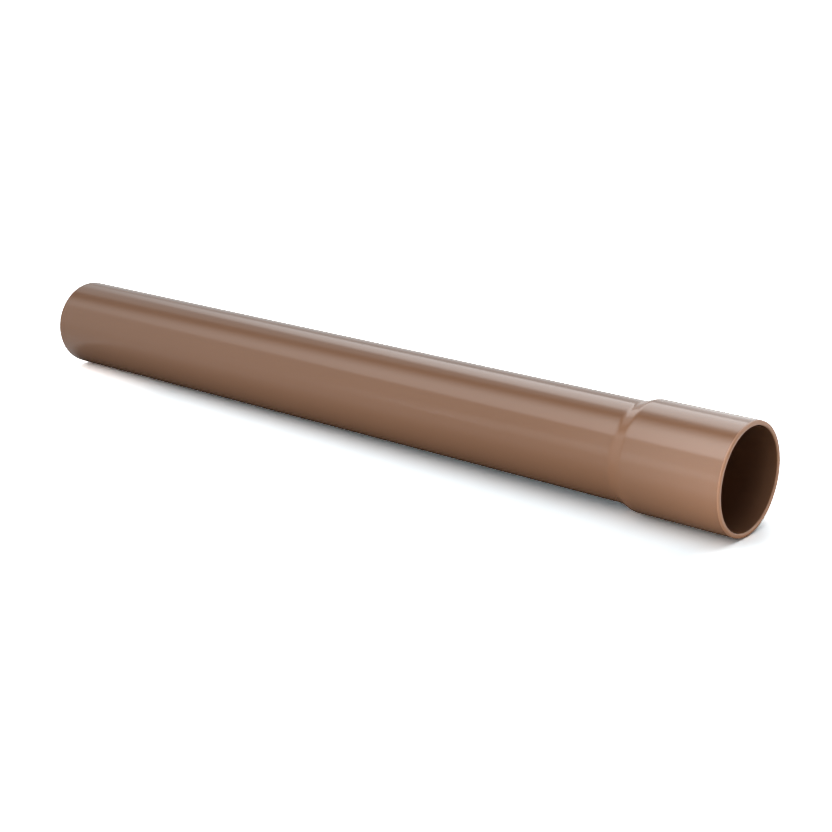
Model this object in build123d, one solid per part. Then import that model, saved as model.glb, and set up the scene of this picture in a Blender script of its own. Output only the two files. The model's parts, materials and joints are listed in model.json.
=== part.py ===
from build123d import *
import math
import os

# A length of rigid PVC water pipe, extruded as one piece. One end is cut square and
# stays plain, the spigot. The other end was heated and stretched over a mandrel into a
# socket, which takes the spigot of the next pipe and is glued to it.
# Millimetres. +X runs along the pipe from spigot to mouth and +Z is up. The pipe lies on
# the floor, and the origin is on the floor under its middle.

# Driving dimensions
PIPE_DIAMETER = 50.0  # outside the barrel and the spigot
PIPE_WALL = 3.0
OVERALL_LENGTH = 470.0  # spigot face to mouth face
SOCKET_DEPTH = 53.0  # straight part of the socket, from the mouth to the shoulder
SOCKET_WALL = 2.4  # thinner than the barrel, because the stretched wall draws out
SOCKET_CLEARANCE = 0.1  # on the radius, between a spigot and the socket that takes it
SHOULDER_LENGTH = 7.0  # along the axis, from the barrel's crease to the socket's
NECK_BEND_RADIUS = 9.0  # the hollow side of the bend from barrel to shoulder, outside
BELL_BEND_RADIUS = 4.0  # the hollow side of the bend from shoulder to socket, inside
SPIGOT_EDGE = 0.4  # rounding left on the sawn spigot face
MOUTH_OUTER_EDGE = 1.0  # rounding outside the mouth
MOUTH_INNER_EDGE = 0.8  # rounding inside the mouth, which leads the next spigot in

# Radii
barrel_radius = PIPE_DIAMETER / 2
bore_radius = barrel_radius - PIPE_WALL
socket_radius = barrel_radius + SOCKET_CLEARANCE
bell_radius = socket_radius + SOCKET_WALL

# Places along the axis, from the spigot face
bell_start = OVERALL_LENGTH - SOCKET_DEPTH
neck = bell_start - SHOULDER_LENGTH

# The wall keeps its thickness round each bend, so the creases inside lie further on
shoulder_slope = math.atan2(bell_radius - barrel_radius, SHOULDER_LENGTH)
crease_shift = math.tan(shoulder_slope / 2)
inner_neck = neck + PIPE_WALL * crease_shift
inner_bell_start = bell_start + SOCKET_WALL * crease_shift


def wall_section():
    """The pipe wall cut lengthwise, above the axis: each corner with its rounding."""
    corners = [
        ((0, bore_radius), SPIGOT_EDGE),
        ((0, barrel_radius), SPIGOT_EDGE),
        ((neck, barrel_radius), NECK_BEND_RADIUS),
        ((bell_start, bell_radius), BELL_BEND_RADIUS + SOCKET_WALL),
        ((OVERALL_LENGTH, bell_radius), MOUTH_OUTER_EDGE),
        ((OVERALL_LENGTH, socket_radius), MOUTH_INNER_EDGE),
        ((inner_bell_start, socket_radius), BELL_BEND_RADIUS),
        ((inner_neck, bore_radius), NECK_BEND_RADIUS + PIPE_WALL),
    ]
    points = [point for point, rounding in corners]
    roundings = [rounding for point, rounding in corners]
    return make_face(FilletPolyline(*points, radius=roundings, close=True))


def laid_on_the_floor(pipe):
    """The pipe as it lies: on the lower edge of the spigot face and the start of the bell."""
    rest_tilt = math.degrees(math.atan2(bell_radius - barrel_radius, bell_start))
    tilted = Rot(0, -rest_tilt, 0) * pipe
    box = tilted.bounding_box()
    return Pos(-box.center().X, 0, -box.min.Z) * tilted


pipe = laid_on_the_floor(revolve(wall_section(), Axis.X))
pipe.label = "pipe"

os.makedirs("parts", exist_ok=True)
export_step(pipe, "parts/pipe.step")
print("pipe volume", round(pipe.volume), "mm3, box", pipe.bounding_box())
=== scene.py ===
# %% [markdown]
# # A brown PVC water pipe with a formed socket
#
# The object is one length of rigid PVC pipe. It was extruded as a plain tube, sawn to length,
# and then one end was heated and pushed over a mandrel, which widened it into a socket for the
# next pipe. So there is one solid to dress, and all its charm is in three things: a true
# section, a clean semi-gloss skin that mirrors the studio in long straight strips, and the
# small roundings of its two ends.
#
# The steps are: load the solid, measure it, draw the wall's section, turn it, give each stretch
# of the wall its finish, and then set up the floor, the light and the camera.

# %% Load the frame
import cmath
import json
import math

import bpy
import numpy as np
from mathutils import Matrix, Vector
from mathutils.bvhtree import BVHTree


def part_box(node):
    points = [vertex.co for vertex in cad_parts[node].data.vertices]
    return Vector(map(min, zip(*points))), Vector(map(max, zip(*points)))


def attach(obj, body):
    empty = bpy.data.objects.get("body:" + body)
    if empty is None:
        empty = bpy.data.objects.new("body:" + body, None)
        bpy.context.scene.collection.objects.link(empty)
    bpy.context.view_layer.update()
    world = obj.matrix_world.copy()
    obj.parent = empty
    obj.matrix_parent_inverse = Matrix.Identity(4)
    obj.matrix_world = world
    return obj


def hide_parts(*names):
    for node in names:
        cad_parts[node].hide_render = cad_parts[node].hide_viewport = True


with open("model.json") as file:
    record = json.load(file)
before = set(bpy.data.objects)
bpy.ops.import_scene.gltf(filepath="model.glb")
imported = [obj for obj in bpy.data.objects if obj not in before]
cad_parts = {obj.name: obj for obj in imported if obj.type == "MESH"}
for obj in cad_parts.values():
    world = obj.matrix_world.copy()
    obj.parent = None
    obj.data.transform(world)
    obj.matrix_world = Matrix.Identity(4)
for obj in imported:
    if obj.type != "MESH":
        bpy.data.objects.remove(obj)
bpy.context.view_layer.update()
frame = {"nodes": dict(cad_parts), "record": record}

# %% [markdown]
# ## Sizes
#
# The places that other parts fit are already known: the record lists the socket, the bore and
# the spigot, each with its radius, its length and its axis. Reading them here keeps the dressed
# pipe on the solid. The few sizes that the record doesn't list, such as the roundings, are named
# in millimetres, as a maker would write them on a drawing.

# %% Read the pipe's sizes
MM = 0.001
SPIGOT_EDGE = 0.4 * MM       # rounding on the sawn spigot face
MOUTH_OUTER_EDGE = 1.0 * MM  # rounding outside the mouth
MOUTH_INNER_EDGE = 0.8 * MM  # rounding inside the mouth
SOCKET_DEPTH = 53.0 * MM     # straight part of the bell
SHOULDER_LENGTH = 7.0 * MM   # from the barrel's crease to the bell's
NECK_BEND_RADIUS = 9.0 * MM  # the hollow side of the bend from barrel to shoulder, outside
BELL_BEND_RADIUS = 4.0 * MM  # the hollow side of the bend from shoulder to socket, inside

mounts = {mount["name"]: mount for mount in frame["record"]["mounts"]}


def radius_of(name):
    return mounts[name]["dims"]["r_mm"] * MM


def half_length_of(name):
    return mounts[name]["dims"]["length_mm"] * MM / 2


axis = Vector(mounts["socket"]["axis"]).normalized()
spigot_face = Vector(mounts["spigot"]["pos_m"]) - axis * (half_length_of("spigot") + SPIGOT_EDGE)
mouth_face = Vector(mounts["socket"]["pos_m"]) + axis * (half_length_of("socket") + MOUTH_INNER_EDGE)
length = (mouth_face - spigot_face).length

barrel_radius = radius_of("spigot")
bore_radius = radius_of("bore")
socket_radius = radius_of("socket")
bell_radius = max(corner.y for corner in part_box("pipe"))
pipe_wall = barrel_radius - bore_radius
socket_wall = bell_radius - socket_radius
radii = {"barrel": barrel_radius, "bore": bore_radius, "socket": socket_radius, "bell": bell_radius}
print("length", round(length / MM, 2), "mm, radii", {name: round(r / MM, 2) for name, r in radii.items()})

# %% [markdown]
# ## The wall's section
#
# A pipe is a turned shape: cut it lengthwise and the cut wall shows everything there is to
# model. Blender could bevel a cylinder, but a bevel rounds every corner alike, and here each
# corner has its own radius. So the section is drawn as corners joined by straight runs, and each
# corner is replaced by a true arc. Points are complex numbers, with the distance along the pipe
# as the real part and the distance out from the axis as the imaginary part, because turning
# through an angle is then one multiplication.

# %% Draw the section
SKIN, CUT_END, SOCKET_INSIDE, BORE_INSIDE = range(4)
ARC_STEPS = 10
RUN_STEP = 9 * MM

bell_start = length - SOCKET_DEPTH
neck = bell_start - SHOULDER_LENGTH
shoulder_slope = math.atan2(bell_radius - barrel_radius, SHOULDER_LENGTH)
crease_shift = math.tan(shoulder_slope / 2)
inner_neck = neck + pipe_wall * crease_shift
inner_bell_start = bell_start + socket_wall * crease_shift

# Each corner: its place, its rounding, the finish of its arc, the finish of the run after it
corners = [
    (complex(0, bore_radius), SPIGOT_EDGE, CUT_END, CUT_END),
    (complex(0, barrel_radius), SPIGOT_EDGE, CUT_END, SKIN),
    (complex(neck, barrel_radius), NECK_BEND_RADIUS, SKIN, SKIN),
    (complex(bell_start, bell_radius), BELL_BEND_RADIUS + socket_wall, SKIN, SKIN),
    (complex(length, bell_radius), MOUTH_OUTER_EDGE, CUT_END, CUT_END),
    (complex(length, socket_radius), MOUTH_INNER_EDGE, CUT_END, SOCKET_INSIDE),
    (complex(inner_bell_start, socket_radius), BELL_BEND_RADIUS, SOCKET_INSIDE, SOCKET_INSIDE),
    (complex(inner_neck, bore_radius), NECK_BEND_RADIUS + pipe_wall, BORE_INSIDE, BORE_INSIDE),
]


def rounded_corner(before, corner, after, rounding):
    """Points and outward normals of the arc that replaces a corner."""
    way_in = (corner - before) / abs(corner - before)
    way_out = (after - corner) / abs(after - corner)
    turn = cmath.phase(way_out / way_in)
    start = corner - way_in * rounding * math.tan(abs(turn) / 2)
    centre = start + 1j * way_in * math.copysign(rounding, turn)
    turns = [cmath.rect(1, turn * step / ARC_STEPS) for step in range(ARC_STEPS + 1)]
    return [(centre + (start - centre) * t, 1j * way_in * t) for t in turns]


def wall_section():
    """Rings of the wall in order: the place, the outward normal and the finish that follows."""
    arcs = []
    for index, (corner, rounding, arc_finish, run_finish) in enumerate(corners):
        before = corners[index - 1][0]
        after = corners[(index + 1) % len(corners)][0]
        arcs.append(rounded_corner(before, corner, after, rounding))
    rings = []
    for index, (corner, rounding, arc_finish, run_finish) in enumerate(corners):
        arc = arcs[index]
        rings += [(place, normal, arc_finish) for place, normal in arc[:-1]]
        start, normal = arc[-1]
        end = arcs[(index + 1) % len(arcs)][0][0]
        pieces = max(1, math.ceil(abs(end - start) / RUN_STEP))
        rings += [(start + (end - start) * k / pieces, normal, run_finish) for k in range(pieces)]
    return rings


section = wall_section()
print("section:", len(section), "rings in", len(corners), "corners and runs")

# %% [markdown]
# ## Turning the section
#
# The section is now carried round the axis, which isn't quite level: the bell is wider than the
# barrel, so a pipe on the floor leans back on it by a third of a degree. The normals are set
# from the section itself, because Blender's own averaging would bend the light on the small
# roundings where a tiny face meets a long one.

# %% Turn the wall
SEGMENTS = 192


def turned_wall(name, rings):
    """A mesh of the section turned about the pipe's axis, with a finish number on each face."""
    side = Vector((0, 0, 1)).cross(axis).normalized()
    up = axis.cross(side)
    angles = np.arange(SEGMENTS) * 2 * math.pi / SEGMENTS
    outward = np.outer(np.cos(angles), side) + np.outer(np.sin(angles), up)
    along = np.array([place.real for place, normal, finish in rings])
    out = np.array([place.imag for place, normal, finish in rings])
    lean = np.array([normal.real for place, normal, finish in rings])
    rise = np.array([normal.imag for place, normal, finish in rings])
    centres = np.array(spigot_face) + np.outer(along, axis)
    places = centres[:, None, :] + out[:, None, None] * outward[None, :, :]
    normals = np.outer(lean, axis)[:, None, :] + rise[:, None, None] * outward[None, :, :]

    ring = np.arange(len(rings))[:, None]
    spoke = np.arange(SEGMENTS)[None, :]
    next_ring = (ring + 1) % len(rings)
    next_spoke = (spoke + 1) % SEGMENTS
    quads = np.stack(
        [
            ring * SEGMENTS + spoke,
            ring * SEGMENTS + next_spoke,
            next_ring * SEGMENTS + next_spoke,
            next_ring * SEGMENTS + spoke,
        ],
        axis=-1,
    ).reshape(-1, 4)
    mesh = bpy.data.meshes.new(name)
    mesh.from_pydata(places.reshape(-1, 3).tolist(), [], quads.tolist())
    finishes = np.repeat([finish for place, normal, finish in rings], SEGMENTS)
    mesh.polygons.foreach_set("material_index", finishes.astype(np.int32))
    mesh.polygons.foreach_set("use_smooth", np.ones(len(quads), dtype=bool))
    mesh.update()
    mesh.normals_split_custom_set_from_vertices(normals.reshape(-1, 3).tolist())
    return mesh


pipe = bpy.data.objects.new("pipe_wall", turned_wall("pipe_wall", section))
bpy.context.scene.collection.objects.link(pipe)
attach(pipe, "root")
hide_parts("pipe")

solid = frame["nodes"]["pipe"].data
solid_surface = BVHTree.FromPolygons([v.co for v in solid.vertices], [p.vertices for p in solid.polygons])
gaps = [solid_surface.find_nearest(vertex.co)[3] for vertex in pipe.data.vertices]
cut_face = pipe.data.polygons[SEGMENTS * ARC_STEPS]
print("turned wall:", len(pipe.data.polygons), "faces, off the solid by", round(max(gaps) / MM, 3), "mm")
print("a face of the spigot's cut end looks along", [round(v, 2) for v in cut_face.normal])

# %% [markdown]
# ## Effects that several finishes share
#
# Extruded plastic isn't one flat colour. Pigment and lubricant mix a little unevenly, so the
# brown drifts softly. The die and the cooling sleeve leave hair-fine lines along the pipe, a
# cutter leaves rings on a cut end, and handling leaves a faint haze where the gloss is broken.
# Each of these is a node group with its own inputs, built once and placed in every finish that
# needs it.

# %% Helpers for node groups


def add_node(tree, kind, **settings):
    """A node of that kind with its properties and unlinked inputs set by name or by number."""
    node = tree.nodes.new(kind)
    inputs = settings.pop("inputs", {})
    for key, value in settings.items():
        setattr(node, key, value)
    for key, value in inputs.items():
        node.inputs[key].default_value = value
    return node


def new_group(name, inputs, outputs):
    """An empty shader group. Inputs are (name, socket type, default), outputs (name, socket type)."""
    group = bpy.data.node_groups.new(name, "ShaderNodeTree")
    for label, socket_type, default in inputs:
        socket = group.interface.new_socket(label, in_out="INPUT", socket_type=socket_type)
        socket.default_value = default
    for label, socket_type in outputs:
        group.interface.new_socket(label, in_out="OUTPUT", socket_type=socket_type)
    return group, add_node(group, "NodeGroupInput"), add_node(group, "NodeGroupOutput")


FLOAT = "NodeSocketFloat"
COLOR = "NodeSocketColor"
AXIS_LEAN = math.atan2(axis.z, axis.x)  # the resting lean of the pipe's axis
TO_AXIS = -(Matrix.Rotation(AXIS_LEAN, 3, "Y") @ spigot_face)


def lengthwise_coordinates(tree):
    """Object coordinates with X along the pipe's own axis, from the spigot face."""
    place = add_node(tree, "ShaderNodeTexCoord")
    turned = add_node(tree, "ShaderNodeMapping", inputs={"Location": TO_AXIS, "Rotation": (0, AXIS_LEAN, 0)})
    tree.links.new(place.outputs["Object"], turned.inputs["Vector"])
    return turned.outputs["Vector"]


print("the pipe's axis leans by", round(math.degrees(AXIS_LEAN), 3), "degrees")

# %% Pigment drift


def make_pigment_drift():
    """The written colour, a little lighter and darker in soft clouds and in fine specks."""
    group, given, made = new_group(
        "pigment_drift",
        [("Color", COLOR, (0.5, 0.5, 0.5, 1)), ("Amount", FLOAT, 0.06)],
        [("Color", COLOR)],
    )
    place = lengthwise_coordinates(group)
    clouds = add_node(group, "ShaderNodeTexNoise", inputs={"Scale": 22.0, "Detail": 3.0, "Roughness": 0.5})
    specks = add_node(group, "ShaderNodeTexNoise", inputs={"Scale": 900.0, "Detail": 2.0, "Roughness": 0.6})
    both = add_node(group, "ShaderNodeMix", data_type="FLOAT", inputs={"Factor": 0.35})
    centred = add_node(group, "ShaderNodeMath", operation="SUBTRACT", inputs={1: 0.5})
    scaled = add_node(group, "ShaderNodeMath", operation="MULTIPLY_ADD", inputs={2: 1.0})
    toned = add_node(group, "ShaderNodeHueSaturation")
    group.links.new(place, clouds.inputs["Vector"])
    group.links.new(place, specks.inputs["Vector"])
    group.links.new(clouds.outputs["Fac"], both.inputs["A"])
    group.links.new(specks.outputs["Fac"], both.inputs["B"])
    group.links.new(both.outputs["Result"], centred.inputs[0])
    group.links.new(centred.outputs["Value"], scaled.inputs[0])
    group.links.new(given.outputs["Amount"], scaled.inputs[1])
    group.links.new(scaled.outputs["Value"], toned.inputs["Value"])
    group.links.new(given.outputs["Color"], toned.inputs["Color"])
    group.links.new(toned.outputs["Color"], made.inputs["Color"])
    return group


pigment_drift = make_pigment_drift()
print("group", pigment_drift.name, "with", len(pigment_drift.nodes), "nodes")

# %% Draw lines


def make_draw_lines():
    """Hair-fine lines along the pipe, as a height from 0 to 1."""
    group, given, made = new_group(
        "draw_lines",
        [("Lines", FLOAT, 700.0), ("Run", FLOAT, 1.5)],
        [("Height", FLOAT)],
    )
    place = lengthwise_coordinates(group)
    pull = add_node(group, "ShaderNodeCombineXYZ")
    drawn = add_node(group, "ShaderNodeVectorMath", operation="MULTIPLY")
    lines = add_node(group, "ShaderNodeTexNoise", inputs={"Scale": 1.0, "Detail": 3.0, "Roughness": 0.55})
    group.links.new(given.outputs["Run"], pull.inputs["X"])
    group.links.new(given.outputs["Lines"], pull.inputs["Y"])
    group.links.new(given.outputs["Lines"], pull.inputs["Z"])
    group.links.new(place, drawn.inputs[0])
    group.links.new(pull.outputs["Vector"], drawn.inputs[1])
    group.links.new(drawn.outputs["Vector"], lines.inputs["Vector"])
    group.links.new(lines.outputs["Fac"], made.inputs["Height"])
    return group


draw_lines = make_draw_lines()
print("group", draw_lines.name, "with", len(draw_lines.nodes), "nodes")

# %% Cutter marks


def make_cutter_marks():
    """Fine rings round the axis, which a turning cutter leaves on a cut end, as a height from 0 to 1."""
    group, given, made = new_group("cutter_marks", [("Rings", FLOAT, 6000.0)], [("Height", FLOAT)])
    place = lengthwise_coordinates(group)
    across = add_node(group, "ShaderNodeVectorMath", operation="MULTIPLY", inputs={1: (0.0, 1.0, 1.0)})
    radius = add_node(group, "ShaderNodeVectorMath", operation="LENGTH")
    rings = add_node(group, "ShaderNodeTexNoise", noise_dimensions="1D", inputs={"Detail": 2.0})
    group.links.new(place, across.inputs[0])
    group.links.new(across.outputs["Vector"], radius.inputs[0])
    group.links.new(radius.outputs["Value"], rings.inputs["W"])
    group.links.new(given.outputs["Rings"], rings.inputs["Scale"])
    group.links.new(rings.outputs["Fac"], made.inputs["Height"])
    return group


cutter_marks = make_cutter_marks()
print("group", cutter_marks.name, "with", len(cutter_marks.nodes), "nodes")

# %% Handling haze


def make_handling_haze():
    """A roughness that rises a little in soft patches and along faint rubbed streaks."""
    group, given, made = new_group(
        "handling_haze",
        [("Roughness", FLOAT, 0.2), ("Amount", FLOAT, 0.04)],
        [("Roughness", FLOAT)],
    )
    place = lengthwise_coordinates(group)
    stretched = add_node(group, "ShaderNodeVectorMath", operation="MULTIPLY", inputs={1: (9.0, 60.0, 60.0)})
    patches = add_node(group, "ShaderNodeTexNoise", inputs={"Scale": 1.0, "Detail": 4.0, "Roughness": 0.6})
    spread = add_node(group, "ShaderNodeMapRange", inputs={"From Min": 0.35, "From Max": 0.75})
    added = add_node(group, "ShaderNodeMath", operation="MULTIPLY_ADD")
    group.links.new(place, stretched.inputs[0])
    group.links.new(stretched.outputs["Vector"], patches.inputs["Vector"])
    group.links.new(patches.outputs["Fac"], spread.inputs["Value"])
    group.links.new(spread.outputs["Result"], added.inputs[0])
    group.links.new(given.outputs["Amount"], added.inputs[1])
    group.links.new(given.outputs["Roughness"], added.inputs[2])
    group.links.new(added.outputs["Value"], made.inputs["Roughness"])
    return group


handling_haze = make_handling_haze()
print("group", handling_haze.name, "with", len(handling_haze.nodes), "nodes")

# %% [markdown]
# ## The finishes
#
# All of the pipe is the same brown PVC, but four stretches of it look different. The skin was
# cooled against a polished sleeve and is semi-gloss. The inside of the socket took the mandrel's
# polish. The bore cooled in air and is duller, with plainer lines. The two ends were cut and
# deburred, so they are dull and a little lighter, and show fine rings from the cutter. Their
# brown is lifted further by painted light, which brightens the mouth's rim.

# %% Build the finishes
BROWN = (0.245, 0.122, 0.066, 1.0)
# Partly the lighter brown of sawn PVC, partly painted light that brightens the mouth's rim
CUT_BROWN_AND_PAINTED_RIM_LIGHT = (0.33, 0.165, 0.09, 1.0)
PVC_IOR = 1.53


def place_group(tree, group, **values):
    node = tree.nodes.new("ShaderNodeGroup")
    node.node_tree = group
    for label, value in values.items():
        node.inputs[label].default_value = value
    return node


def pvc_finish(name, color, gloss, drift, relief):
    """A brown PVC material. The gloss is a strength, a roughness and the haze on it. The relief is a
    group of marks, their depth and the group's own values."""
    strength, roughness, haze = gloss
    marks, depth, mark_values = relief
    material = bpy.data.materials.new(name)
    material.use_nodes = True
    tree = material.node_tree
    shader = tree.nodes["Principled BSDF"]
    shader.inputs["IOR"].default_value = PVC_IOR
    shader.inputs["Specular IOR Level"].default_value = strength
    pigment = place_group(tree, pigment_drift, Color=color, Amount=drift)
    hazed = place_group(tree, handling_haze, Roughness=roughness, Amount=haze)
    height = place_group(tree, marks, **mark_values)
    bump = add_node(tree, "ShaderNodeBump", inputs={"Strength": 1.0, "Distance": depth})
    tree.links.new(pigment.outputs["Color"], shader.inputs["Base Color"])
    tree.links.new(hazed.outputs["Roughness"], shader.inputs["Roughness"])
    tree.links.new(height.outputs["Height"], bump.inputs["Height"])
    tree.links.new(bump.outputs["Normal"], shader.inputs["Normal"])
    return material


skin_lines = (draw_lines, 0.004 * MM, {"Lines": 600.0, "Run": 1.5})
mandrel_lines = (draw_lines, 0.0003 * MM, {"Lines": 500.0, "Run": 3.0})
bore_lines = (draw_lines, 0.006 * MM, {"Lines": 400.0, "Run": 1.5})
cut_rings = (cutter_marks, 0.006 * MM, {"Rings": 6000.0})
finishes = {
    SKIN: pvc_finish("pvc_skin", BROWN, (0.5, 0.13, 0.05), 0.05, skin_lines),
    CUT_END: pvc_finish("pvc_cut_end", CUT_BROWN_AND_PAINTED_RIM_LIGHT, (0.5, 0.30, 0.08), 0.06, cut_rings),
    SOCKET_INSIDE: pvc_finish("pvc_socket_inside", BROWN, (0.5, 0.25, 0.02), 0.03, mandrel_lines),
    BORE_INSIDE: pvc_finish("pvc_bore_inside", BROWN, (0.15, 0.60, 0.08), 0.08, bore_lines),
}
for finish in sorted(finishes):
    pipe.data.materials.append(finishes[finish])
print("finishes:", [finishes[key].name for key in sorted(finishes)])

# %% [markdown]
# ## Floor and air
#
# The floor is a plain white sheet, wide enough to fill the picture. White paper that is lit only
# softly looks pale grey, so the camera sees it in a lighter colour, which turns it white and
# keeps the pipe's shadow, with no more light on the pipe. That colour is also painted light: it is
# lighter towards the spigot, which thins the shadow there, and lighter still behind the pipe and
# past its ends, which paints out the shade there, and a blue tint cancels the brown in the shadow.
# In the gloss of the pipe the floor has a painted shadow, which darkens it towards the line under
# the pipe, and painted light where the bell mirrors it. To the pipe the floor sends back little
# light, a painted shade that keeps the underside dark, and in front of the mouth it sends back more
# light than falls on it, a painted light on the end of the bell and the wall just inside it.
#
# The air round the pipe is evenly bright, like the white walls of a studio. Only beyond the mouth
# it sends little light, so that one looks into a dark pipe. To the camera and in the gloss it is
# plain white.

# %% Choose the floor's tones
# Painted light: the camera's tone is lighter at the spigot's end than near the mouth, which thins the shadow
# there, and lighter still behind the pipe and past its ends, which paints out the shade there. All three
# carry a blue tint that cancels the brown in the shadow.
FLOOR_SEEN_FAR_PAINTED_LIGHTER = (2.88, 3.24, 3.45, 1.0)   # for the camera, at the spigot's end
FLOOR_SEEN_NEAR = (2.15, 2.47, 2.65, 1.0)  # near the mouth
FLOOR_SEEN_SHADE_PAINTED_OUT = (4.5, 4.6, 4.65, 1.0)    # behind the pipe and past its ends
# Painted shade and light on the pipe: beside it the floor sends back almost no light, and in front of the
# mouth more light than falls on it.
FLOOR_SENT_BACK = (0.06, 1.6)              # onto the pipe, beside it and in front of the mouth
# Painted shadow and light in the gloss: the floor's tone darkens towards the line under the pipe, and it is
# raised where the bell mirrors it.
FLOOR_MIRRORED = 1.45
FLOOR_MIRRORED_PAINTED_LIGHT = 1.0  # in the gloss, near the mouth
FLOOR_PAINTED_SHADE_REACH = 0.095  # in the gloss, from the line under the pipe
FLOOR_END_SHARPNESS = 8.0  # past the pipe's ends the shade ends sooner

# Stretches of floor over which one tone turns into another: where that starts and where it is done
MOUTH_X = length / 2
SPIGOT_X = -length / 2
# Painted light: over these three stretches the floor's shade is painted out
SHADE_PAINTED_OUT_BEHIND = (0, 0.06)
SHADE_PAINTED_OUT_PAST_MOUTH = (MOUTH_X - 0.01, MOUTH_X + 0.03)
SHADE_PAINTED_OUT_PAST_SPIGOT = (SPIGOT_X + 0.09, SPIGOT_X)
# Where the floor is painted lighter in the bell's gloss
BELL_PAINTED_LIGHT_STRETCH = (0.17, 0.25)
SENT_FROM_MOUTH = (MOUTH_X - 0.025, MOUTH_X + 0.015)
SENT_UP_TO = (MOUTH_X + 0.09, MOUTH_X + 0.04)
SENT_FROM_FRONT = (-0.02, -0.06)
print("the floor opens past the mouth from", [round(x, 3) for x in SHADE_PAINTED_OUT_PAST_MOUTH], "m on")

# %% Measure places on the floor
ALONG = (1, 0, 0)
BACK = (0, 1, 0)
MIRRORED_WAY = (1, -0.6, 0)  # the same all along a line on the floor that one spot of the bell mirrors


def distance_from_pipe(tree):
    """How far a place on the floor lies from the line under the pipe. Past the ends it counts for more."""
    half_pipe = (length / 2, 0, 0)
    weights = (FLOOR_END_SHARPNESS, 1, 0)
    place = add_node(tree, "ShaderNodeNewGeometry")
    either_way = add_node(tree, "ShaderNodeVectorMath", operation="ABSOLUTE")
    past_ends = add_node(tree, "ShaderNodeVectorMath", operation="SUBTRACT", inputs={1: half_pipe})
    outside = add_node(tree, "ShaderNodeVectorMath", operation="MAXIMUM", inputs={1: (0, 0, 0)})
    weighed = add_node(tree, "ShaderNodeVectorMath", operation="MULTIPLY", inputs={1: weights})
    distance = add_node(tree, "ShaderNodeVectorMath", operation="LENGTH")
    tree.links.new(place.outputs["Position"], either_way.inputs[0])
    tree.links.new(either_way.outputs["Vector"], past_ends.inputs[0])
    tree.links.new(past_ends.outputs["Vector"], outside.inputs[0])
    tree.links.new(outside.outputs["Vector"], weighed.inputs[0])
    tree.links.new(weighed.outputs["Vector"], distance.inputs[0])
    return distance.outputs["Value"]


def share_along(tree, way, stretch):
    """A share that rises from 0 to 1 over a stretch along a way on the floor."""
    start, end = stretch
    place = add_node(tree, "ShaderNodeNewGeometry")
    distance = add_node(tree, "ShaderNodeVectorMath", operation="DOT_PRODUCT", inputs={1: way})
    share = add_node(tree, "ShaderNodeMapRange", inputs={"From Min": start, "From Max": end})
    tree.links.new(place.outputs["Position"], distance.inputs[0])
    tree.links.new(distance.outputs["Value"], share.inputs["Value"])
    return share.outputs["Result"]


def larger(tree, first, second):
    node = add_node(tree, "ShaderNodeMath", operation="MAXIMUM")
    tree.links.new(first, node.inputs[0])
    tree.links.new(second, node.inputs[1])
    return node.outputs["Value"]


# %% Mix the floor's tones


def seen_tone_with_painted_light(tree):
    """The floor's tone for the camera, with painted light: lighter towards the spigot, and the shade painted
    out behind the pipe and past its ends.
    """
    along = add_node(tree, "ShaderNodeMixRGB", inputs={"Color1": FLOOR_SEEN_FAR_PAINTED_LIGHTER, "Color2": FLOOR_SEEN_NEAR})
    shade_painted_out = add_node(tree, "ShaderNodeMixRGB", inputs={"Color2": FLOOR_SEEN_SHADE_PAINTED_OUT})
    tree.links.new(share_along(tree, ALONG, (SPIGOT_X, MOUTH_X)), along.inputs["Fac"])
    past_mouth = share_along(tree, ALONG, SHADE_PAINTED_OUT_PAST_MOUTH)
    past_spigot = share_along(tree, ALONG, SHADE_PAINTED_OUT_PAST_SPIGOT)
    behind = share_along(tree, BACK, SHADE_PAINTED_OUT_BEHIND)
    tree.links.new(larger(tree, behind, larger(tree, past_mouth, past_spigot)), shade_painted_out.inputs["Fac"])
    tree.links.new(along.outputs["Color"], shade_painted_out.inputs["Color1"])
    return shade_painted_out.outputs["Color"]


def mirrored_tone_painted_shade(tree):
    """The floor's tone in the gloss of the pipe: a painted shadow that darkens it towards the line under the
    pipe, and painted light where the bell mirrors it.
    """
    ends = {"From Max": FLOOR_PAINTED_SHADE_REACH, "To Max": FLOOR_MIRRORED}
    shade = add_node(tree, "ShaderNodeMapRange", inputs=ends)
    added = {1: FLOOR_MIRRORED_PAINTED_LIGHT, 2: 1.0}
    gain = add_node(tree, "ShaderNodeMath", operation="MULTIPLY_ADD", inputs=added)
    painted_tone = add_node(tree, "ShaderNodeMath", operation="MULTIPLY")
    tree.links.new(distance_from_pipe(tree), shade.inputs["Value"])
    tree.links.new(share_along(tree, MIRRORED_WAY, BELL_PAINTED_LIGHT_STRETCH), gain.inputs[0])
    tree.links.new(shade.outputs["Result"], painted_tone.inputs[0])
    tree.links.new(gain.outputs["Value"], painted_tone.inputs[1])
    return painted_tone.outputs["Value"]


def in_front_of_mouth(tree):
    """A share that is 1 on the floor in front of the mouth and 0 beside the pipe and further on: where the
    floor sends back painted light.
    """
    along = add_node(tree, "ShaderNodeMath", operation="MULTIPLY")
    both = add_node(tree, "ShaderNodeMath", operation="MULTIPLY")
    tree.links.new(share_along(tree, ALONG, SENT_FROM_MOUTH), along.inputs[0])
    tree.links.new(share_along(tree, ALONG, SENT_UP_TO), along.inputs[1])
    tree.links.new(along.outputs["Value"], both.inputs[0])
    tree.links.new(share_along(tree, BACK, SENT_FROM_FRONT), both.inputs[1])
    return both.outputs["Value"]


# %% Lay the floor
FLOOR_HALF = 12.0


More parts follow.
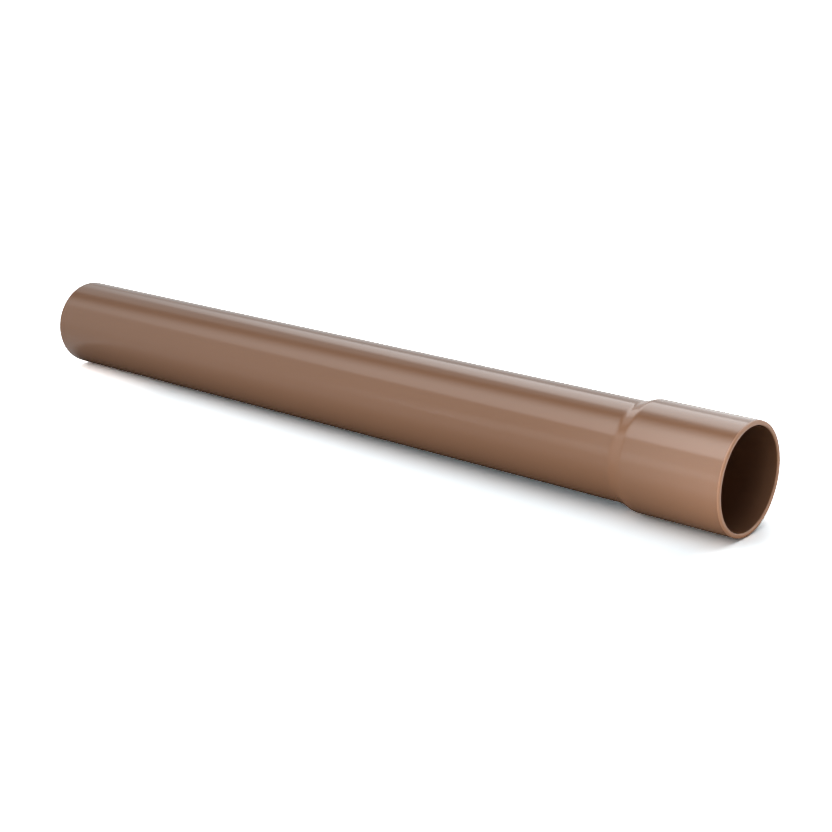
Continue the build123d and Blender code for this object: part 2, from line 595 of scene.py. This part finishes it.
def lay_floor():
    mesh = bpy.data.meshes.new("floor")
    edge = FLOOR_HALF
    places = [(-edge, -edge, 0), (edge, -edge, 0), (edge, edge, 0), (-edge, edge, 0)]
    mesh.from_pydata(places, [], [(0, 1, 2, 3)])
    material = bpy.data.materials.new("floor_white")
    material.use_nodes = True
    tree = material.node_tree
    tree.nodes.remove(tree.nodes["Principled BSDF"])
    ray = add_node(tree, "ShaderNodeLightPath")
    beside, in_front = FLOOR_SENT_BACK
    sent_back = add_node(tree, "ShaderNodeMix", data_type="FLOAT", inputs={"A": beside, "B": in_front})
    in_gloss = add_node(tree, "ShaderNodeMix", data_type="FLOAT")
    tone = add_node(tree, "ShaderNodeMixRGB")
    sheet = add_node(tree, "ShaderNodeBsdfDiffuse")
    tree.links.new(in_front_of_mouth(tree), sent_back.inputs["Factor"])
    tree.links.new(sent_back.outputs["Result"], in_gloss.inputs["A"])
    tree.links.new(mirrored_tone_painted_shade(tree), in_gloss.inputs["B"])
    tree.links.new(ray.outputs["Is Glossy Ray"], in_gloss.inputs["Factor"])
    straight = larger(tree, ray.outputs["Is Camera Ray"], ray.outputs["Is Transmission Ray"])
    tree.links.new(straight, tone.inputs["Fac"])
    tree.links.new(in_gloss.outputs["Result"], tone.inputs["Color1"])
    tree.links.new(seen_tone_with_painted_light(tree), tone.inputs["Color2"])
    tree.links.new(tone.outputs["Color"], sheet.inputs["Color"])
    tree.links.new(sheet.outputs["BSDF"], tree.nodes["Material Output"].inputs["Surface"])
    mesh.materials.append(material)
    floor = bpy.data.objects.new("floor", mesh)
    bpy.context.scene.collection.objects.link(floor)
    return floor


lay_floor()
print("floor half width", FLOOR_HALF, "m")

# %% Light the air
AIR_LIGHT = 0.78
MOUTH_SIDE_SHARE = 0.02         # of the air's light, straight beyond the mouth
MOUTH_SIDE_FADE = (0.30, 0.36)  # along X, where the air starts to dim and where only that share is left


def light_the_air():
    world = bpy.data.worlds.new("studio_air")
    bpy.context.scene.world = world
    world.use_nodes = True
    tree = world.node_tree
    way = add_node(tree, "ShaderNodeTexCoord")
    parts = add_node(tree, "ShaderNodeSeparateXYZ")
    dim = AIR_LIGHT * MOUTH_SIDE_SHARE
    light = add_node(tree, "ShaderNodeMapRange",
                     inputs={"From Min": MOUTH_SIDE_FADE[0], "From Max": MOUTH_SIDE_FADE[1],
                             "To Min": AIR_LIGHT, "To Max": dim})
    ray = add_node(tree, "ShaderNodeLightPath")
    seen = add_node(tree, "ShaderNodeMix", data_type="FLOAT", inputs={"B": 1.0})
    clear = larger(tree, ray.outputs["Is Camera Ray"], ray.outputs["Is Transmission Ray"])
    tree.links.new(way.outputs["Generated"], parts.inputs["Vector"])
    tree.links.new(parts.outputs["X"], light.inputs["Value"])
    tree.links.new(larger(tree, clear, ray.outputs["Is Glossy Ray"]), seen.inputs["Factor"])
    tree.links.new(light.outputs["Result"], seen.inputs["A"])
    tree.links.new(seen.outputs["Result"], tree.nodes["Background"].inputs["Color"])
    return world


light_the_air()
print("air light", AIR_LIGHT, "and beyond the mouth", round(AIR_LIGHT * MOUTH_SIDE_SHARE, 3))

# %% [markdown]
# ## A light tent
#
# A glossy tube shows its surroundings as strips along its length, and these strips tell the eye
# that it is round and smooth. So a tent of light hangs over the pipe, which only shows in the
# gloss. It is dim at the top and has a bright strip along each side, with a dim shelf beside the
# one behind. Below each strip a plain wall reaches down to the floor. Angles round the pipe are
# counted from straight in front, over the top, to straight behind. Each strip starts sharply at
# the tent's edge and fades out towards the top.
#
# The camera looks along the pipe at a slant, so each spot of the pipe mirrors the tent further
# back, towards the spigot. The tent is dimmer at its far end, which the spigot mirrors, and a
# brighter card hangs where the last of the bell mirrors it. Its glow is kept as a value on the
# points of the mesh, because it changes along the pipe and round it.

# %% Choose the tent's strips
PIPE_HEIGHT = (spigot_face.z + mouth_face.z) / 2
TENT_REACH = 0.6               # from the pipe's axis
TENT_ENDS = (-1.6, 1.6)        # along the pipe
MIRRORED_ENDS = (-0.95, -0.1)  # where the spigot and the mouth mirror the tent to the camera
TENT_FADE = (0.6, 1.45)        # past the mouth, where it dims again
TENT_COLUMNS = 88
TENT_ROWS = 100
TENT_DIM = 0.26

# Each strip, at the far end and near the mouth: its edge, where it starts to fade, its end, and its glow
FRONT_STRIP = ((53, 45), (60, 66), (92, 101), (1.25, 2.9))
BACK_STRIP = ((145, 147), (129, 118), (121, 99), (0.95, 3.4))
BACK_SHELF = ((145, 147), (105, 104), (92, 95), (0.80, 0.75))
# Each wall below a strip: its lower edge, its glow at the far end and near the mouth, and what the card adds
FRONT_WALL = (2, (0.90, 0.90), 1.0)
BACK_WALL = (178, (0.85, 1.15), 0.7)
CARD_START = 0.88       # of the way from the far end to the mouth
FRONT_STRIP_CARD = 1.6  # what the card adds to the strip in front
BACK_WALL_TOP = 0.72    # of the glow at its lower edge
print("tent from", TENT_ENDS[0], "to", TENT_ENDS[1], "m, strips", FRONT_STRIP[3], "and", BACK_STRIP[3])

# %% Hang sheets of light


def between(ends, nearness):
    return ends[0] + (ends[1] - ends[0]) * nearness


def strip_glow(strip, angle, nearness):
    """The glow of a strip at an angle round the pipe."""
    fade, end, glow = [between(ends, nearness) for ends in strip[1:]]
    share = np.clip((angle - fade) / (end - fade), 0, 1)
    return glow * (1 - share * share * (3 - 2 * share))


def sheet_of_light(name, rows_at, glow_at, rows):
    """A sheet round the pipe that glows in its gloss alone, between two angles in so many rows."""
    places, glows = [], []
    for column in range(TENT_COLUMNS + 1):
        x = between(TENT_ENDS, column / TENT_COLUMNS)
        nearness = np.interp(x, MIRRORED_ENDS + TENT_FADE, (0, 1, 1, 0))
        for row in range(rows + 1):
            angle = between(rows_at(nearness), row / rows)
            turn = math.radians(angle)
            places.append((x, -TENT_REACH * math.cos(turn), PIPE_HEIGHT + TENT_REACH * math.sin(turn)))
            glows.append(glow_at(angle, nearness))
    step = rows + 1
    faces = [
        (k, k + step, k + step + 1, k + 1)
        for column in range(TENT_COLUMNS)
        for k in range(column * step, column * step + rows)
    ]
    mesh = bpy.data.meshes.new(name)
    mesh.from_pydata(places, [], faces)
    mesh.attributes.new("glow", "FLOAT", "POINT").data.foreach_set("value", glows)
    material = bpy.data.materials.new(name)
    material.use_nodes = True
    tree = material.node_tree
    tree.nodes.remove(tree.nodes["Principled BSDF"])
    glow = add_node(tree, "ShaderNodeAttribute", attribute_name="glow")
    emission = add_node(tree, "ShaderNodeEmission")
    tree.links.new(glow.outputs["Fac"], emission.inputs["Strength"])
    tree.links.new(emission.outputs["Emission"], tree.nodes["Material Output"].inputs["Surface"])
    mesh.materials.append(material)
    sheet = bpy.data.objects.new(name, mesh)
    bpy.context.scene.collection.objects.link(sheet)
    sheet.visible_camera = False
    sheet.visible_diffuse = False
    sheet.visible_shadow = False
    print(name, "of", len(faces), "faces, glow", round(min(glows), 2), "to", round(max(glows), 2))
    return sheet


# %% Hang the tent and its walls


def card(nearness):
    return max(0, (nearness - CARD_START) / (1 - CARD_START))


def tent_edges(nearness):
    return between(FRONT_STRIP[0], nearness), between(BACK_STRIP[0], nearness)


def tent_glow(angle, nearness):
    front = strip_glow(FRONT_STRIP, angle, nearness)
    front *= 1 + card(nearness) * FRONT_STRIP_CARD / FRONT_STRIP[3][1]
    back = strip_glow(BACK_STRIP, angle, nearness)
    shelf = strip_glow(BACK_SHELF, angle, nearness)
    return max(TENT_DIM, front, back, shelf)


def wall_glow(wall, nearness):
    return between(wall[1], nearness) + wall[2] * card(nearness)


def front_wall_edges(nearness):
    return FRONT_WALL[0], between(FRONT_STRIP[0], nearness)


def front_wall_glow(angle, nearness):
    return wall_glow(FRONT_WALL, nearness)


def back_wall_edges(nearness):
    return between(BACK_STRIP[0], nearness), BACK_WALL[0]


def back_wall_glow(angle, nearness):
    top, bottom = back_wall_edges(nearness)
    return wall_glow(BACK_WALL, nearness) * between((BACK_WALL_TOP, 1), (angle - top) / (bottom - top))


sheet_of_light("light_tent", tent_edges, tent_glow, TENT_ROWS)
sheet_of_light("front_light_wall", front_wall_edges, front_wall_glow, 1)
sheet_of_light("back_light_wall", back_wall_edges, back_wall_glow, 1)

# %% [markdown]
# ## Lamps
#
# Five lamps shape the pipe. They are kept off the floor, whose shade then stays close to the pipe,
# and none of them shows in the gloss. The main lamp is large and soft. It shines low from the front
# and from the spigot's side, so that it models the barrel and leaves the mouth dark, and its beam
# is aimed past the mouth, so the far end gets less of it. A weaker one, the fill lamp, does the same
# from behind. Two small lamps shine on the last of the bell and fade towards the shoulder. The bell
# lamp hangs level with the mouth, and the mouth lamp a little past it, from where it also reaches
# the wall just inside. The face lamp hangs in line with the pipe, beyond the mouth: it lights the
# cut face and only grazes the walls inside.

# %% Helpers for lamps
lit_by_lamps = bpy.data.collections.new("lit_by_lamps")
lit_by_lamps.objects.link(pipe)


def hang_lamp(lamp, place, target):
    lamp_object = bpy.data.objects.new(lamp.name, lamp)
    lamp_object.location = place
    lamp_object.rotation_euler = (target - place).to_track_quat("-Z", "Y").to_euler()
    lamp_object.visible_camera = False
    lamp_object.visible_glossy = False
    lamp_object.light_linking.receiver_collection = lit_by_lamps
    bpy.context.scene.collection.objects.link(lamp_object)
    print(lamp.name, "of", lamp.energy, "W at", [round(v, 3) for v in place])
    return lamp_object


def beam(name, spread, softness, power):
    lamp = bpy.data.lights.new(name, "SPOT")
    lamp.spot_size = math.radians(spread)
    lamp.spot_blend = 1.0
    lamp.shadow_soft_size = softness
    lamp.energy = power
    return lamp


# %% Hang the main lamp and the fill lamp
MAIN_LAMP_REACH = 2.5
MAIN_LAMP_TURN = -35.0   # degrees from straight in front, towards the spigot
MAIN_LAMP_RISE = 2.0     # degrees above level
MAIN_LAMP_AIM = 0.35     # along X, past the mouth
MAIN_LAMP_SPREAD = 41.0  # degrees
MAIN_LAMP_SOFTNESS = 0.5
MAIN_LAMP_POWER = 312.0  # watts
FILL_LAMP_POWER = 150.0  # watts

turn, rise = math.radians(MAIN_LAMP_TURN), math.radians(MAIN_LAMP_RISE)
to_main_lamp = Vector((math.sin(turn) * math.cos(rise), -math.cos(turn) * math.cos(rise), math.sin(rise)))
to_fill_lamp = Vector((to_main_lamp.x, -to_main_lamp.y, to_main_lamp.z))
main_aim = Vector((MAIN_LAMP_AIM, 0, PIPE_HEIGHT))
main_lamp = beam("main_lamp", MAIN_LAMP_SPREAD, MAIN_LAMP_SOFTNESS, MAIN_LAMP_POWER)
fill_lamp = beam("fill_lamp", MAIN_LAMP_SPREAD, MAIN_LAMP_SOFTNESS, FILL_LAMP_POWER)
hang_lamp(main_lamp, main_aim + to_main_lamp * MAIN_LAMP_REACH, main_aim)
hang_lamp(fill_lamp, main_aim + to_fill_lamp * MAIN_LAMP_REACH, main_aim)

# %% Hang the bell lamp and the mouth lamp
BELL_LAMP_REACH = 0.55
BELL_LAMP_PAST_MOUTH = 0.035  # where the middle of its light falls
BELL_LAMP_RISE = 0.12         # above the pipe's axis
BELL_LAMP_SPREAD = 15.0       # degrees
BELL_LAMP_SOFTNESS = 0.04
BELL_LAMP_POWER = 4.4         # watts
MOUTH_LAMP_PAST_MOUTH = 0.1   # where it hangs
MOUTH_LAMP_SOFTNESS = 0.12
MOUTH_LAMP_POWER = 8.0        # watts

bell_aim = mouth_face + Vector((BELL_LAMP_PAST_MOUTH, -bell_radius, 0))
bell_lamp_place = mouth_face + Vector((0, -bell_radius - BELL_LAMP_REACH, BELL_LAMP_RISE))
bell_lamp = beam("bell_lamp", BELL_LAMP_SPREAD, BELL_LAMP_SOFTNESS, BELL_LAMP_POWER)
hang_lamp(bell_lamp, bell_lamp_place, bell_aim)

mouth_lamp_place = mouth_face + Vector((MOUTH_LAMP_PAST_MOUTH, -BELL_LAMP_REACH, BELL_LAMP_RISE))
mouth_lamp = beam("mouth_lamp", BELL_LAMP_SPREAD, MOUTH_LAMP_SOFTNESS, MOUTH_LAMP_POWER)
hang_lamp(mouth_lamp, mouth_lamp_place, bell_aim)

# %% Hang the face lamp
FACE_LAMP_REACH = 1.0
FACE_LAMP_SIZE = 0.05
FACE_LAMP_POWER = 7.0  # watts

face_lamp = bpy.data.lights.new("face_lamp", "AREA")
face_lamp.size = FACE_LAMP_SIZE
face_lamp.energy = FACE_LAMP_POWER
hang_lamp(face_lamp, mouth_face + axis * FACE_LAMP_REACH, mouth_face)

# %% [markdown]
# ## Camera
#
# The view is from beyond the mouth and a little above. The place and the turn were found by
# matching the pipe's outline.

# %% Set up the camera
CAMERA_PLACE = (0.576878, -0.625392, 0.273780)
CAMERA_TURN = 40.884  # degrees to the left of straight ahead
CAMERA_DOWN = 17.213  # degrees below level
CAMERA_LENS = 70.853  # mm
SENSOR_WIDTH = 36.0   # mm

lens = bpy.data.cameras.new("camera")
lens.lens = CAMERA_LENS
lens.sensor_width = SENSOR_WIDTH
camera = bpy.data.objects.new("camera", lens)
camera.location = CAMERA_PLACE
camera.rotation_euler = (math.radians(90 - CAMERA_DOWN), 0, math.radians(CAMERA_TURN))
bpy.context.scene.collection.objects.link(camera)
bpy.context.scene.camera = camera
bpy.context.scene.view_settings.view_transform = "Standard"
print("camera at", CAMERA_PLACE, "with a lens of", CAMERA_LENS, "mm")
